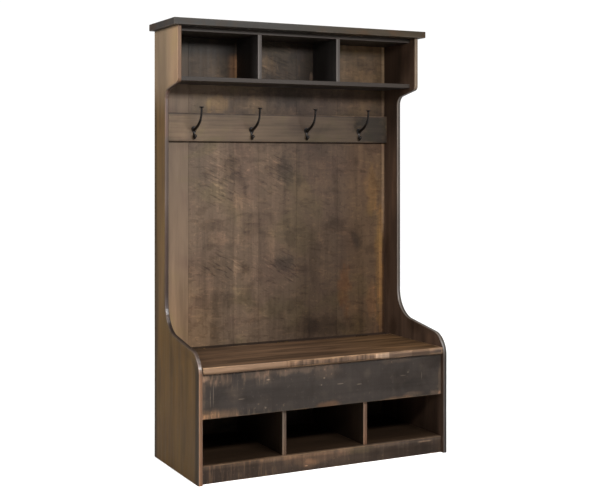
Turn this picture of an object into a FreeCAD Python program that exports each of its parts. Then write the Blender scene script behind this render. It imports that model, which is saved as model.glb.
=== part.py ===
"""Storage hall bench: shaped ends, cubbies above and below, a hook rail and a lift-up seat lid.

Millimetres. +X is to the right of someone facing the bench, +Y is towards the wall and +Z is up.
The origin is on the floor, under the middle of the bench's own box.
"""
import FreeCAD, Part
import math
import os

V = FreeCAD.Vector

# The whole bench
case_width = 1219.0
bench_depth = 537.0
bench_height = 1950.0

# Board thicknesses
end_thickness = 19.0
cornice_thickness = 30.0
shelf_thickness = 19.0
divider_thickness = 19.0
front_rail_thickness = 19.0
hook_rail_thickness = 22.0
back_thickness = 12.0
seat_thickness = 28.5
strip_thickness = 19.0

# Outline of the two ends: depths from the wall, rises above the seat, drops below the upper shelf
upper_depth = 293.0
middle_depth = 134.0
arm_rear_rise = 114.0
arm_front_rise = 50.0
arm_rear_radius = 130.0
arm_front_radius = 98.0
bracket_front_drop = 10.0
bracket_rear_drop = 42.0
bracket_front_radius = 22.0
bracket_rear_radius = 40.0
end_edge_round = 4.0
edge_round_limit_share = 0.4

# Cornice and upper cubbies
cornice_side_overhang = 25.5
cornice_front_overhang = 27.0
cornice_edge_round = 2.5
upper_cubby_height = 197.0
upper_cubby_setback = 45.0
board_edge_round = 1.5

# Hook rail
hook_rail_drop = 130.0
hook_rail_width = 130.0

# Seat and storage box
seat_height = 483.0
seat_front_setback = 3.0
seat_edge_round = 3.0
seat_end_gap = 3.0
rear_strip_depth = 62.0
apron_setback = 19.5
apron_bottom_height = 267.0
base_rail_height = 74.0
ledger_height = 40.0
cleat_height = 25.0
batten_width = 60.0
batten_thickness = 18.0
batten_end_gap = 30.0
batten_place_share = 0.5

# Back boards, with their joints as shares of the clear width
back_joint_shares = (0.118, 0.310, 0.417, 0.585, 0.773)
back_floor_gap = 6.0
back_edge_ease = 0.8
tongue_length = 6.0
tongue_thickness = 4.0
rabbet_depth = 9.0

# Joinery
housing_depth = 6.0
housing_stop = 12.0
board_clearance = 0.2
fastener_clearance = 0.1
overrun = 5.0

# Coat hooks, with the places of the row as shares of the clear width
hook_place_shares = (-0.366, -0.122, 0.122, 0.366)
hook_plate_drop = 78.0
hook_plate_width = 27.0
hook_plate_height = 36.0
hook_plate_foot_radius = 6.5
hook_plate_thickness = 4.0
hook_plate_edge = 1.2
hook_reach = 94.0
hook_rise = 103.0
hook_elbow_rise = 30.0
hook_arm_bend = 80.0
hook_arm_radius = 4.2
hook_root_radius = 6.0
hook_root_length = 24.0
hook_cap_radius = 11.0
hook_cap_thickness = 5.0
hook_cap_edge = 1.6
hook_stem_drop = 9.0
hook_stem_radius = 3.6
hook_stem_bend = 5.0
hook_curl_reach = 7.0
hook_curl_drop = 38.0
hook_ball_reach = 15.0
hook_ball_drop = 28.0
hook_ball_radius = 8.5
hook_screw_rise = 6.0
hook_screw_spread = 8.0

# Butt hinges of the lid, with their places as shares of the clear width
hinge_place_shares = (-0.36, 0.0, 0.36)
hinge_length = 64.0
hinge_gap = 1.0
leaf_thickness = 2.0
leaf_margin = 4.5
knuckle_radius = 3.2
knuckle_count = 5
knuckle_gap = 0.3
pin_radius = 1.6
pin_end_ease = 0.5
pin_running_clearance = 0.05
leaf_screw_shares = (-0.32, 0.0, 0.32)

# Fasteners and bumpers
screw_head_radius = 3.2
screw_head_height = 1.8
screw_shank_radius = 1.7
hinge_screw_length = 22.0
batten_screw_bite = 16.0
batten_screw_shares = (0.08, 0.5, 0.92)
cornice_screw_bite = 22.0
cornice_screw_across_shares = (-0.34, 0.0, 0.34)
cornice_screw_deep_shares = (0.25, 0.75)
hook_screw_bite = 14.0
hook_screw_head_radius = 2.8
hook_screw_head_height = 1.8
hook_screw_head_edge = 0.9
nail_head_radius = 2.6
nail_head_height = 1.0
nail_shank_radius = 1.1
nail_bite = 18.0
nail_board_shares = (0.25, 0.75)
nail_rail_share = 0.25
bumper_radius = 6.0
bumper_height = 3.0
bumper_edge = 0.8
bumper_place_share = 0.42

# Places worked out from the sizes above
half_case = case_width / 2
inner_half = half_case - end_thickness
inner_width = 2 * inner_half
divider_x = (inner_width + divider_thickness) / 6
back_y = bench_depth / 2
front_y = -bench_depth / 2
upper_front_y = back_y - upper_depth
middle_front_y = back_y - middle_depth
back_face_y = back_y - back_thickness
rail_face_y = back_face_y - hook_rail_thickness

cornice_bottom = bench_height - cornice_thickness
ceiling_bottom = cornice_bottom - shelf_thickness
upper_shelf_top = ceiling_bottom - upper_cubby_height
upper_shelf_bottom = upper_shelf_top - shelf_thickness
cubby_front_y = upper_front_y + upper_cubby_setback
hook_rail_top = upper_shelf_bottom - hook_rail_drop
hook_rail_bottom = hook_rail_top - hook_rail_width
hook_plate_z = hook_rail_top - hook_plate_drop

seat_bottom = seat_height - seat_thickness
seat_front_y = front_y + seat_front_setback
strip_front_y = back_face_y - rear_strip_depth
lid_rear_y = strip_front_y - hinge_gap
lid_half = inner_half - seat_end_gap
hinge_y = (strip_front_y + lid_rear_y) / 2
hinge_z = seat_height
leaf_bottom = seat_bottom + leaf_margin
apron_top = seat_bottom - bumper_height
apron_face_y = front_y + apron_setback
apron_back_y = apron_face_y + front_rail_thickness
storage_floor_top = apron_bottom_height + shelf_thickness
cubby_floor_bottom = base_rail_height - shelf_thickness
ledger_front_y = back_face_y - strip_thickness

right = V(1, 0, 0)
towards_wall = V(0, 1, 0)
up = V(0, 0, 1)


def block(x, y, z):
    """A rectangular board between three (low, high) pairs."""
    return Part.makeBox(x[1] - x[0], y[1] - y[0], z[1] - z[0], V(x[0], y[0], z[0]))


def rounded_edges(corners, closed):
    """Straight edges through (point, radius) corners, with a tangent arc at each radius."""
    count = len(corners)
    starts, middles, ends = [], [], []
    for index, (point, radius) in enumerate(corners):
        at_end = index in (0, count - 1) and not closed
        if at_end or radius == 0:
            starts.append(point)
            middles.append(None)
            ends.append(point)
            continue
        along_in = (point - corners[index - 1][0]).normalize()
        along_out = (corners[(index + 1) % count][0] - point).normalize()
        half_turn = along_in.getAngle(along_out) / 2
        reach = radius * math.tan(half_turn)
        inward = (along_out - along_in).normalize()
        starts.append(point - along_in * reach)
        middles.append(point + inward * (radius / math.cos(half_turn) - radius))
        ends.append(point + along_out * reach)
    edges = []
    for index in range(count):
        if middles[index] is not None:
            edges.append(Part.Arc(starts[index], middles[index], ends[index]).toShape())
        if closed or index < count - 1:
            edges.append(Part.LineSegment(ends[index], starts[(index + 1) % count]).toShape())
    return edges


def turned(profile, point, direction):
    """A turned solid from (radius, distance) points, placed with its axis along direction."""
    outline = [V(radius, 0, distance) for radius, distance in profile]
    face = Part.Face(Part.makePolygon(outline + outline[:1]))
    solid = face.revolve(V(0, 0, 0), up, 360)
    solid.Placement = FreeCAD.Placement(point, FreeCAD.Rotation(up, direction))
    return solid


def screw_profile(length, clearance=0.0):
    """A countersunk screw, flush at distance 0, or with a clearance the hole that it sits in."""
    head = screw_head_radius + clearance
    shank = screw_shank_radius + clearance
    top = [(0, -overrun), (head, -overrun)] if clearance else [(0, 0)]
    point_start = length - screw_shank_radius
    return top + [(head, 0), (shank, screw_head_height), (shank, point_start), (0, length + clearance)]


def hook_screw_profile(clearance=0.0):
    """A round-headed screw that stands on the plate at distance 0, or the hole for its shank."""
    shank = screw_shank_radius + clearance
    tip = hook_plate_thickness + hook_screw_bite + clearance
    if clearance:
        return [(0, -overrun), (shank, -overrun), (shank, tip), (0, tip)]
    head = hook_screw_head_radius
    crown = -hook_screw_head_height
    return [(0, crown), (head - hook_screw_head_edge, crown), (head, crown + hook_screw_head_edge),
            (head, 0), (shank, 0), (shank, tip), (0, tip)]


def nail_profile(clearance=0.0):
    """A flat-headed nail, flush at distance 0, or with a clearance the hole that it sits in."""
    head = nail_head_radius + clearance
    shank = nail_shank_radius + clearance
    top = -overrun if clearance else 0
    tip = back_thickness + nail_bite + clearance
    under = nail_head_height
    return [(0, top), (head, top), (head, under), (shank, under), (shank, tip), (0, tip)]


def fasteners(profile, points, direction):
    """The same fastener at each point, and the holes for them."""
    solids = [turned(profile(), point, direction) for point in points]
    holes = [turned(profile(clearance=fastener_clearance), point, direction) for point in points]
    return solids, holes


def lies_at(edge, axis, place):
    """True where the whole edge has one coordinate at a place."""
    return all(abs(vertex.Point[axis] - place) < board_clearance / 2 for vertex in edge.Vertexes)


def eased(solid, radius, wanted):
    """Rounds the edges that wanted(edge) picks."""
    return solid.makeFillet(radius, [edge for edge in solid.Edges if wanted(edge)])


def rounded_front(board, front, radius):
    """Rounds a board's two long edges on its front face."""
    face_edges = [edge for edge in board.Edges if lies_at(edge, 1, front)]
    longest = max(edge.Length for edge in face_edges)
    return board.makeFillet(radius, [edge for edge in face_edges if edge.Length > longest / 2])


def housed_board(y, z):
    """A board that runs from end to end, with both its ends let into them."""
    reach = inner_half + housing_depth
    return block((-reach, reach), y, z)


def between_ends(y, z):
    """A board that fits between the two ends."""
    return block((-inner_half, inner_half), y, z)


def end_panel(side, housings):
    """One shaped end: rounded front edges, housings for the boards and a rabbet for the back."""
    outline = [
        (back_y, 0, 0),
        (back_y, cornice_bottom, 0),
        (upper_front_y, cornice_bottom, 0),
        (upper_front_y, upper_shelf_bottom - bracket_front_drop, bracket_front_radius),
        (middle_front_y, upper_shelf_bottom - bracket_rear_drop, bracket_rear_radius),
        (middle_front_y, seat_height + arm_rear_rise, arm_rear_radius),
        (front_y, seat_height + arm_front_rise, arm_front_radius),
        (front_y, 0, 0),
    ]
    outer, inner = side * half_case, side * inner_half
    corners = [(V(min(outer, inner), y, z), radius) for y, z, radius in outline]
    panel = Part.Face(Part.Wire(rounded_edges(corners, True))).extrude(right * end_thickness)

    def on_the_front(edge):
        on_a_side = lies_at(edge, 0, outer) or lies_at(edge, 0, inner)
        at_a_rim = lies_at(edge, 1, back_y) or lies_at(edge, 2, 0) or lies_at(edge, 2, cornice_bottom)
        return on_a_side and not at_a_rim

    panel = eased(panel, min(end_edge_round, end_thickness * edge_round_limit_share), on_the_front)
    rabbet_x = sorted((inner - side * overrun, inner + side * rabbet_depth))
    rabbet = block(rabbet_x, (back_face_y, back_y + overrun), (-overrun, cornice_bottom + overrun))
    return panel.cut(housings + [rabbet])


def divider(x, y, z, tongue_front_y):
    """An upright divider, and its tongues that are let into the boards above and below it."""
    wide = (x - divider_thickness / 2, x + divider_thickness / 2)
    upright = rounded_front(block(wide, y, z), y[0], board_edge_round)
    tongues = block(wide, (tongue_front_y, y[1]), (z[0] - housing_depth, z[1] + housing_depth))
    return upright.fuse(tongues).removeSplitter(), tongues


def back_board_spans():
    """The left and right edge of each back board, the outer ones reaching into the rabbets."""
    reach = inner_half + rabbet_depth - board_clearance
    joints = [inner_width * share - inner_half for share in back_joint_shares]
    edges = [-reach] + joints + [reach]
    return list(zip(edges[:-1], edges[1:]))


def back_board(span, grooved, tongued, holes):
    """One vertical board, grooved on its left and tongued on its right where it meets another."""
    low_x, high_x = span
    middle = (back_face_y + back_y) / 2
    tongue = tongue_thickness / 2
    groove = tongue + board_clearance
    groove_x = low_x + tongue_length + board_clearance
    tongue_x = high_x + tongue_length
    plan = [(low_x + back_edge_ease, back_face_y), (high_x - back_edge_ease, back_face_y),
            (high_x, back_face_y + back_edge_ease)]
    if tongued:
        plan += [(high_x, middle - tongue), (tongue_x, middle - tongue),
                 (tongue_x, middle + tongue), (high_x, middle + tongue)]
    plan += [(high_x, back_y), (low_x, back_y)]
    if grooved:
        plan += [(low_x, middle + groove), (groove_x, middle + groove),
                 (groove_x, middle - groove), (low_x, middle - groove)]
    plan.append((low_x, back_face_y + back_edge_ease))
    points = [V(x, y, back_floor_gap) for x, y in plan]
    face = Part.Face(Part.makePolygon(points + points[:1]))
    return face.extrude(up * (cornice_bottom - back_floor_gap)).cut(holes)


def round_bar(corners, radius):
    """A round bar along a path of straight runs and arcs."""
    path = Part.Wire(rounded_edges(corners, False))
    start = corners[0][0]
    section = Part.Wire(Part.makeCircle(radius, start, corners[1][0] - start))
    return path.makePipeShell([section], True, False)


def hook_plate():
    """The hook's wall plate, a wide round top drawn in to a small round foot."""
    top_radius = hook_plate_width / 2
    top_z = hook_plate_height / 2 - top_radius
    foot_z = hook_plate_foot_radius - hook_plate_height / 2
    lean = math.asin((top_radius - hook_plate_foot_radius) / (top_z - foot_z))

    def rim(radius, centre_z, side):
        return V(side * radius * math.cos(lean), 0, centre_z - radius * math.sin(lean))

    left_top, right_top = [rim(top_radius, top_z, side) for side in (-1, 1)]
    left_foot, right_foot = [rim(hook_plate_foot_radius, foot_z, side) for side in (-1, 1)]
    outline = [
        Part.Arc(left_top, up * (hook_plate_height / 2), right_top).toShape(),
        Part.LineSegment(right_top, right_foot).toShape(),
        Part.Arc(right_foot, up * (-hook_plate_height / 2), left_foot).toShape(),
        Part.LineSegment(left_foot, left_top).toShape(),
    ]
    plate = Part.Face(Part.Wire(outline)).extrude(towards_wall * -hook_plate_thickness)
    return eased(plate, hook_plate_edge, lambda edge: lies_at(edge, 1, -hook_plate_thickness))


def coat_hook():
    """A cast double hook, with the back of its plate on Y 0 and its middle at the origin."""
    elbow = V(0, -hook_reach, hook_elbow_rise)
    arm_foot = V(0, hook_plate_thickness, 0)
    arm_top = V(0, -hook_reach, hook_rise - hook_cap_thickness / 2)
    arm = round_bar([(arm_foot, 0), (elbow, hook_arm_bend), (arm_top, 0)], hook_arm_radius)
    root_profile = [(0, 0), (hook_root_radius, 0), (hook_arm_radius, hook_root_length), (0, hook_root_length)]
    root = turned(root_profile, arm_foot, elbow - arm_foot)
    cap_flat = hook_cap_radius - hook_cap_edge
    cap = turned([(0, 0), (cap_flat, 0), (hook_cap_radius, hook_cap_edge),
                  (hook_cap_radius, hook_cap_thickness - hook_cap_edge),
                  (cap_flat, hook_cap_thickness), (0, hook_cap_thickness)],
                 V(0, -hook_reach, hook_rise - hook_cap_thickness), up)
    stem_foot = V(0, hook_plate_thickness, -hook_stem_drop)
    curl = V(0, -hook_curl_reach, -hook_curl_drop)
    ball_centre = V(0, -hook_ball_reach, -hook_ball_drop)
    stem = round_bar([(stem_foot, 0), (curl, hook_stem_bend), (ball_centre, 0)], hook_stem_radius)
    ball = Part.makeSphere(hook_ball_radius, ball_centre)
    casting = hook_plate().fuse([arm, root, cap, stem, ball])
    behind = block((-hook_plate_width, hook_plate_width), (0, hook_plate_height),
                   (-hook_plate_height, hook_plate_height))
    return casting.cut(behind).removeSplitter()


def hook_row():
    """The coat hooks, their screws and the screw holes."""
    hooks, screws, holes = [], [], []
    pattern = coat_hook()
    for share in hook_place_shares:
        middle = V(share * inner_width, rail_face_y, hook_plate_z)
        face = middle - towards_wall * hook_plate_thickness + up * hook_screw_rise
        points = [face + right * (side * hook_screw_spread) for side in (-1, 1)]
        own_screws, own_holes = fasteners(hook_screw_profile, points, towards_wall)
        hooks.append(pattern.translated(middle).cut(own_holes))
        screws += own_screws
        holes += own_holes
    return hooks, screws, holes


def along_hinge(x, radius, low, high):
    """A cylinder on the hinge line, between two distances from the hinge's left end."""
    start = V(x - hinge_length / 2 + low, hinge_y, hinge_z)
    return Part.makeCylinder(radius, high - low, start, right)


def knuckle_spans(first):
    """Every second knuckle's span along a hinge, starting from the first one given."""
    step = hinge_length / knuckle_count
    return [(index * step, (index + 1) * step) for index in range(first, knuckle_count, 2)]


def hinge_leaf(x, y, own_first, other_first, holes):
    """One leaf with its knuckles, cut away where the other leaf's knuckles turn."""
    plate = block((x - hinge_length / 2, x + hinge_length / 2), y, (leaf_bottom, hinge_z))
    swept = [along_hinge(x, knuckle_radius + knuckle_gap, *span) for span in knuckle_spans(other_first)]
    barrels = [along_hinge(x, knuckle_radius, low + knuckle_gap / 2, high - knuckle_gap / 2)
               for low, high in knuckle_spans(own_first)]
    pin_hole = along_hinge(x, pin_radius + pin_running_clearance, -overrun, hinge_length + overrun)
    return plate.cut(swept).fuse(barrels).removeSplitter().cut(holes + [pin_hole])


def hinge_pin(x):
    """The pin through both leaves' knuckles."""
    tip = pin_radius - pin_end_ease
    profile = [(0, 0), (tip, 0), (pin_radius, pin_end_ease), (pin_radius, hinge_length - pin_end_ease),
               (tip, hinge_length), (0, hinge_length)]
    return turned(profile, V(x - hinge_length / 2, hinge_y, hinge_z), right)


def hinge_recess(x, y):
    """The mortise for one leaf, and the hollow that clears the knuckles."""
    half = hinge_length / 2 + board_clearance
    mortise = block((x - half, x + half), y, (leaf_bottom - board_clearance, seat_height + overrun))
    far_end = hinge_length + board_clearance
    hollow = along_hinge(x, knuckle_radius + 2 * knuckle_gap, -board_clearance, far_end)
    return [mortise, hollow]


def lid_hinges(solids):
    """The three butt hinges, with what has to be cut from the rear strip and from the lid for them."""
    strip_cuts, lid_cuts, strip_screws, lid_screws = [], [], [], []
    strip_leaf_y = (strip_front_y, strip_front_y + leaf_thickness)
    lid_leaf_y = (lid_rear_y - leaf_thickness, lid_rear_y)
    screw_z = (leaf_bottom + hinge_z - knuckle_radius) / 2

    def hinge_screw(clearance=0.0):
        return screw_profile(hinge_screw_length, clearance)

    for number, share in enumerate(hinge_place_shares, 1):
        x = share * inner_width
        screw_x = [x + place * hinge_length for place in leaf_screw_shares]
        into_strip, strip_holes = fasteners(hinge_screw, [V(at, strip_front_y, screw_z) for at in screw_x],
                                            towards_wall)
        into_lid, lid_holes = fasteners(hinge_screw, [V(at, lid_rear_y, screw_z) for at in screw_x],
                                        -towards_wall)
        solids["hinge_case_leaf_%d" % number] = hinge_leaf(x, strip_leaf_y, 0, 1, strip_holes)
        solids["hinge_lid_leaf_%d" % number] = hinge_leaf(x, lid_leaf_y, 1, 0, lid_holes)
        solids["hinge_pin_%d" % number] = hinge_pin(x)
        strip_cuts += hinge_recess(x, (strip_front_y - overrun, strip_leaf_y[1])) + strip_holes
        lid_cuts += hinge_recess(x, (lid_leaf_y[0], lid_rear_y + overrun)) + lid_holes
        strip_screws += into_strip
        lid_screws += into_lid
    solids["hinge_case_screws"] = Part.makeCompound(strip_screws)
    solids["hinge_lid_screws"] = Part.makeCompound(lid_screws)
    return strip_cuts, lid_cuts


def seat_lid(solids, hinge_cuts):
    """The lift-up lid, and the two battens that keep it flat."""
    lid = block((-lid_half, lid_half), (seat_front_y, lid_rear_y), (seat_bottom, seat_height))
    lid = rounded_front(lid, seat_front_y, seat_edge_round)
    batten_y = (apron_back_y + batten_end_gap, ledger_front_y - rear_strip_depth - batten_end_gap)
    batten_bottom = seat_bottom - batten_thickness
    all_screws, all_holes = [], []

    def batten_screw(clearance=0.0):
        return screw_profile(batten_thickness + batten_screw_bite, clearance)

    for name, side in (("left", -1), ("right", 1)):
        x = side * batten_place_share * inner_half
        rows = [batten_y[0] + share * (batten_y[1] - batten_y[0]) for share in batten_screw_shares]
        screws, holes = fasteners(batten_screw, [V(x, y, batten_bottom) for y in rows], up)
        batten = block((x - batten_width / 2, x + batten_width / 2), batten_y, (batten_bottom, seat_bottom))
        batten = eased(batten, board_edge_round, lambda edge: lies_at(edge, 2, batten_bottom))
        solids["lid_batten_" + name] = batten.cut(holes)
        all_screws += screws
        all_holes += holes
    solids["batten_screws"] = Part.makeCompound(all_screws)
    solids["seat_lid"] = lid.cut(hinge_cuts + all_holes)


def lid_rests(solids):
    """Cleats along the two ends of the storage box, and the rubber bumpers that the lid comes down on."""
    cleat_y = (apron_back_y, ledger_front_y)
    cleat_z = (apron_top - cleat_height, apron_top)
    cleat_in = inner_half - strip_thickness
    solids["lid_rest_cleat_left"] = block((-inner_half, -cleat_in), cleat_y, cleat_z)
    solids["lid_rest_cleat_right"] = block((cleat_in, inner_half), cleat_y, cleat_z)
    profile = [(0, 0), (bumper_radius, 0), (bumper_radius, bumper_height - bumper_edge),
               (bumper_radius - bumper_edge, bumper_height), (0, bumper_height)]
    cleat_x = inner_half - strip_thickness / 2
    spots = [(bumper_place_share * inner_width, (apron_face_y + apron_back_y) / 2), (cleat_x, 0)]
    points = [V(side * x, y, apron_top) for x, y in spots for side in (-1, 1)]
    solids["lid_bumpers"] = Part.makeCompound([turned(profile, point, up) for point in points])


def cornice(solids, ceiling):
    """The cornice board, with the screws that hold it up through the ceiling board."""
    reach = half_case + cornice_side_overhang
    front = upper_front_y - cornice_front_overhang
    board = block((-reach, reach), (front, back_y), (cornice_bottom, bench_height))
    board = eased(board, cornice_edge_round, lambda edge: not lies_at(edge, 1, back_y))
    depth = back_face_y - cubby_front_y
    points = [V(across * inner_width, cubby_front_y + deep * depth, ceiling_bottom)
              for across in cornice_screw_across_shares for deep in cornice_screw_deep_shares]

    def cornice_screw(clearance=0.0):
        return screw_profile(shelf_thickness + cornice_screw_bite, clearance)

    screws, holes = fasteners(cornice_screw, points, up)
    solids["cornice_board"] = board.cut(holes)
    solids["cornice_screws"] = Part.makeCompound(screws)
    return ceiling.cut(holes)


def nail_row(z):
    """The places of one row of nails, two to each back board."""
    return [V(low + share * (high - low), back_y, z)
            for low, high in back_board_spans() for share in nail_board_shares]


def hall_bench():
    """Every piece of the bench, by name."""
    solids = {}
    depth = (apron_back_y, back_face_y)
    upper = (cubby_front_y, back_face_y)
    rail = (apron_face_y, apron_back_y)
    strip = (ledger_front_y, back_face_y)
    boards = {
        "cubby_ceiling_board": housed_board(upper, (ceiling_bottom, cornice_bottom)),
        "upper_shelf": housed_board(upper, (upper_shelf_bottom, upper_shelf_top)),
        "rear_seat_strip": housed_board((strip_front_y, back_face_y), (seat_bottom, seat_height)),
        "storage_floor": housed_board(depth, (apron_bottom_height, storage_floor_top)),
        "cubby_floor": housed_board(depth, (cubby_floor_bottom, base_rail_height)),
        "apron_board": housed_board(rail, (apron_bottom_height, apron_top)),
        "base_rail": housed_board(rail, (0, base_rail_height)),
    }
    for name, side in (("left", -1), ("right", 1)):
        solids[name + "_end_panel"] = end_panel(side, list(boards.values()))
    for name, front in (("cubby_ceiling_board", cubby_front_y), ("upper_shelf", cubby_front_y),
                        ("apron_board", apron_face_y), ("base_rail", apron_face_y)):
        boards[name] = rounded_front(boards[name], front, board_edge_round)
    hook_rail = between_ends((rail_face_y, back_face_y), (hook_rail_bottom, hook_rail_top))
    boards["hook_rail"] = rounded_front(hook_rail, rail_face_y, board_edge_round)
    solids["rear_seat_ledger"] = between_ends(strip, (seat_bottom - ledger_height, seat_bottom))
    solids["rear_base_rail"] = between_ends(strip, (0, cubby_floor_bottom))

    for name, side in (("left", -1), ("right", 1)):
        solids["upper_divider_" + name], tongues = divider(
            side * divider_x, upper, (upper_shelf_top, ceiling_bottom), cubby_front_y + housing_stop)
        for board in ("cubby_ceiling_board", "upper_shelf"):
            boards[board] = boards[board].cut(tongues)
        solids["lower_divider_" + name], tongues = divider(
            side * divider_x, depth, (base_rail_height, apron_bottom_height), apron_back_y + housing_stop)
        for board in ("storage_floor", "cubby_floor"):
            boards[board] = boards[board].cut(tongues)

    hooks, screws, holes = hook_row()
    for number, hook in enumerate(hooks, 1):
        solids["coat_hook_%d" % number] = hook
    solids["hook_screws"] = Part.makeCompound(screws)
    boards["hook_rail"] = boards["hook_rail"].cut(holes)

    strip_cuts, lid_cuts = lid_hinges(solids)
    boards["rear_seat_strip"] = boards["rear_seat_strip"].cut(strip_cuts)
    seat_lid(solids, lid_cuts)
    lid_rests(solids)
    boards["cubby_ceiling_board"] = cornice(solids, boards["cubby_ceiling_board"])

    nail_heights = {
        "cubby_ceiling_board": (ceiling_bottom + cornice_bottom) / 2,
        "upper_shelf": (upper_shelf_bottom + upper_shelf_top) / 2,
        "hook_rail": hook_rail_bottom + nail_rail_share * hook_rail_width,
        "rear_seat_strip": (seat_bottom + seat_height) / 2,
        "storage_floor": (apron_bottom_height + storage_floor_top) / 2,
        "cubby_floor": (cubby_floor_bottom + base_rail_height) / 2,
    }
    nails, nail_holes = [], []
    for name, z in nail_heights.items():
        row, holes = fasteners(nail_profile, nail_row(z), -towards_wall)
        boards[name] = boards[name].cut(holes)
        nails += row
        nail_holes += holes
    solids["back_nails"] = Part.makeCompound(nails)
    spans = back_board_spans()
    for number, span in enumerate(spans, 1):
        own = [hole for hole in nail_holes if span[0] < hole.BoundBox.Center.x < span[1]]
        solids["back_board_%d" % number] = back_board(span, number > 1, number < len(spans), own)
    solids.update(boards)
    return solids


os.makedirs("parts", exist_ok=True)
for name, shape in hall_bench().items():
    shape.exportStep("parts/%s.step" % name)
    print(name, len(shape.Solids), "solid" if len(shape.Solids) == 1 else "solids", shape.isValid())
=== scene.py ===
"""Storage hall bench: stained and rubbed boards, cast hooks, studio light and camera around the solids."""
import math

import bmesh
import bpy
from mathutils import Euler, Matrix, Vector
from mathutils.geometry import interpolate_bezier, intersect_point_line


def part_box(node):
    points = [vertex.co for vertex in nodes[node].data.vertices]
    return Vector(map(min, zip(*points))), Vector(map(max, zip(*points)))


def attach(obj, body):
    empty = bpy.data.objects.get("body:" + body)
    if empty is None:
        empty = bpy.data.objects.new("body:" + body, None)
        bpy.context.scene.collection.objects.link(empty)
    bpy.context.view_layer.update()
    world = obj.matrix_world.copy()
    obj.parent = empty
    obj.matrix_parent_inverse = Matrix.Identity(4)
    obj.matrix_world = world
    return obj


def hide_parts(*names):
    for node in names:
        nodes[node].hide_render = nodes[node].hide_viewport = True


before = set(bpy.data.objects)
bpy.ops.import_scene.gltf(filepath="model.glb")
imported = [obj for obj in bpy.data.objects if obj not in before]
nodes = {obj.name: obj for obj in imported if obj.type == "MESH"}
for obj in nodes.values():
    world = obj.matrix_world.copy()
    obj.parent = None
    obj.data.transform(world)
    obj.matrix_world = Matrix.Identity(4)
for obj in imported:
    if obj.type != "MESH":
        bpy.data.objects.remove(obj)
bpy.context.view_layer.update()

# Sizes of the shaped ends, in metres
upper_depth = 0.293
middle_depth = 0.134
arm_rear_rise = 0.114
arm_front_rise = 0.050
arm_rear_radius = 0.130
arm_front_radius = 0.098
bracket_front_drop = 0.010
bracket_rear_drop = 0.042
bracket_front_radius = 0.022
bracket_rear_radius = 0.040
end_edge_round = 0.004
rabbet_width = 0.009
corner_steps = 14
edge_steps = 4
arris_band = 0.012
panel_cut_step = 0.03
touch = 1e-5

# Sizes of a coat hook, in metres, from the middle of its plate
hook_plate_width = 0.027
hook_plate_height = 0.036
hook_plate_thickness = 0.004
hook_foot_radius = 0.0065
hook_reach = 0.094
hook_rise = 0.103
hook_voxel = 0.0008

# Camera, fitted to the photograph
camera_place = (-2.341, -4.625, 1.337)
camera_turn = -26.759
camera_lens = 68.367
camera_sensor = 36.0
camera_shift = -0.149

# Places that several pieces share
seat_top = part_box("seat_lid")[1].z
shelf_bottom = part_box("upper_shelf")[0].z
back_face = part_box("back_board_1")[0].y
inner_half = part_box("right_end_panel")[0].x
rail_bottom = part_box("hook_rail")[0].z

MIX_FACTOR, MIX_FIRST, MIX_SECOND, MIX_RESULT = 0, 6, 7, 2
GRAIN_ORDER = {"x": "XYZ", "y": "YXZ", "z": "ZXY"}


def tone(red, green, blue):
    """A linear colour from screen bytes."""
    def linear(byte):
        share = byte / 255
        return share / 12.92 if share <= 0.04045 else ((share + 0.055) / 1.055) ** 2.4
    return linear(red), linear(green), linear(blue), 1.0


class Graph:
    """Adds nodes to one node tree, linking sockets and setting plain values."""

    def __init__(self, tree):
        self.tree = tree

    def wire(self, node, inputs):
        """Links or sets some of a node's inputs."""
        for label, value in inputs.items():
            if isinstance(value, bpy.types.NodeSocket):
                self.tree.links.new(value, node.inputs[label])
            else:
                node.inputs[label].default_value = value
        return node

    def add(self, kind, inputs=None, **settings):
        made = self.tree.nodes.new(kind)
        for label, value in settings.items():
            setattr(made, label, value)
        return self.wire(made, inputs or {})

    def math(self, operation, *values):
        return self.add("ShaderNodeMath", dict(enumerate(values)), operation=operation).outputs[0]

    def times(self, product, *values):
        """The product of several values, or where all of several masks are."""
        for value in values:
            product = self.math("MULTIPLY", product, value)
        return product

    def vector(self, operation, *values):
        made = self.add("ShaderNodeVectorMath", dict(enumerate(values)), operation=operation)
        return made.outputs["Value" if operation == "LENGTH" else "Vector"]

    def noise(self, place, scale, detail=2.0, roughness=0.5, distortion=0.0):
        inputs = {"Vector": place, "Scale": scale, "Detail": detail, "Roughness": roughness,
                  "Distortion": distortion}
        return self.add("ShaderNodeTexNoise", inputs).outputs["Fac"]

    def stretched(self, place, scale):
        return self.add("ShaderNodeMapping", {"Vector": place, "Scale": scale}).outputs["Vector"]

    def fade(self, value, start, end):
        """0 at start and 1 at end, with a soft step between them."""
        inputs = {"Value": value, "From Min": min(start, end), "From Max": max(start, end),
                  "To Min": float(start > end), "To Max": float(start < end)}
        return self.add("ShaderNodeMapRange", inputs, interpolation_type="SMOOTHSTEP").outputs["Result"]

    def mix(self, factor, first, second, blend="MIX"):
        inputs = {MIX_FACTOR: factor, MIX_FIRST: first, MIX_SECOND: second}
        return self.add("ShaderNodeMix", inputs, data_type="RGBA", blend_type=blend).outputs[MIX_RESULT]

    def group(self, tree, **inputs):
        return self.add("ShaderNodeGroup", inputs, node_tree=tree).outputs


def new_group(name, inputs, outputs):
    """An empty shader node group: its graph, the values given to it and its output node."""
    tree = bpy.data.node_groups.new(name, "ShaderNodeTree")
    for label, value in inputs.items():
        kind = "NodeSocketFloat" if isinstance(value, float) else "NodeSocketVector"
        socket = tree.interface.new_socket(label, in_out="INPUT", socket_type=kind)
        socket.default_value = value
    for label in outputs:
        tree.interface.new_socket(label, in_out="OUTPUT", socket_type="NodeSocketFloat")
    graph = Graph(tree)
    return graph, graph.add("NodeGroupInput").outputs, graph.add("NodeGroupOutput")


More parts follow.
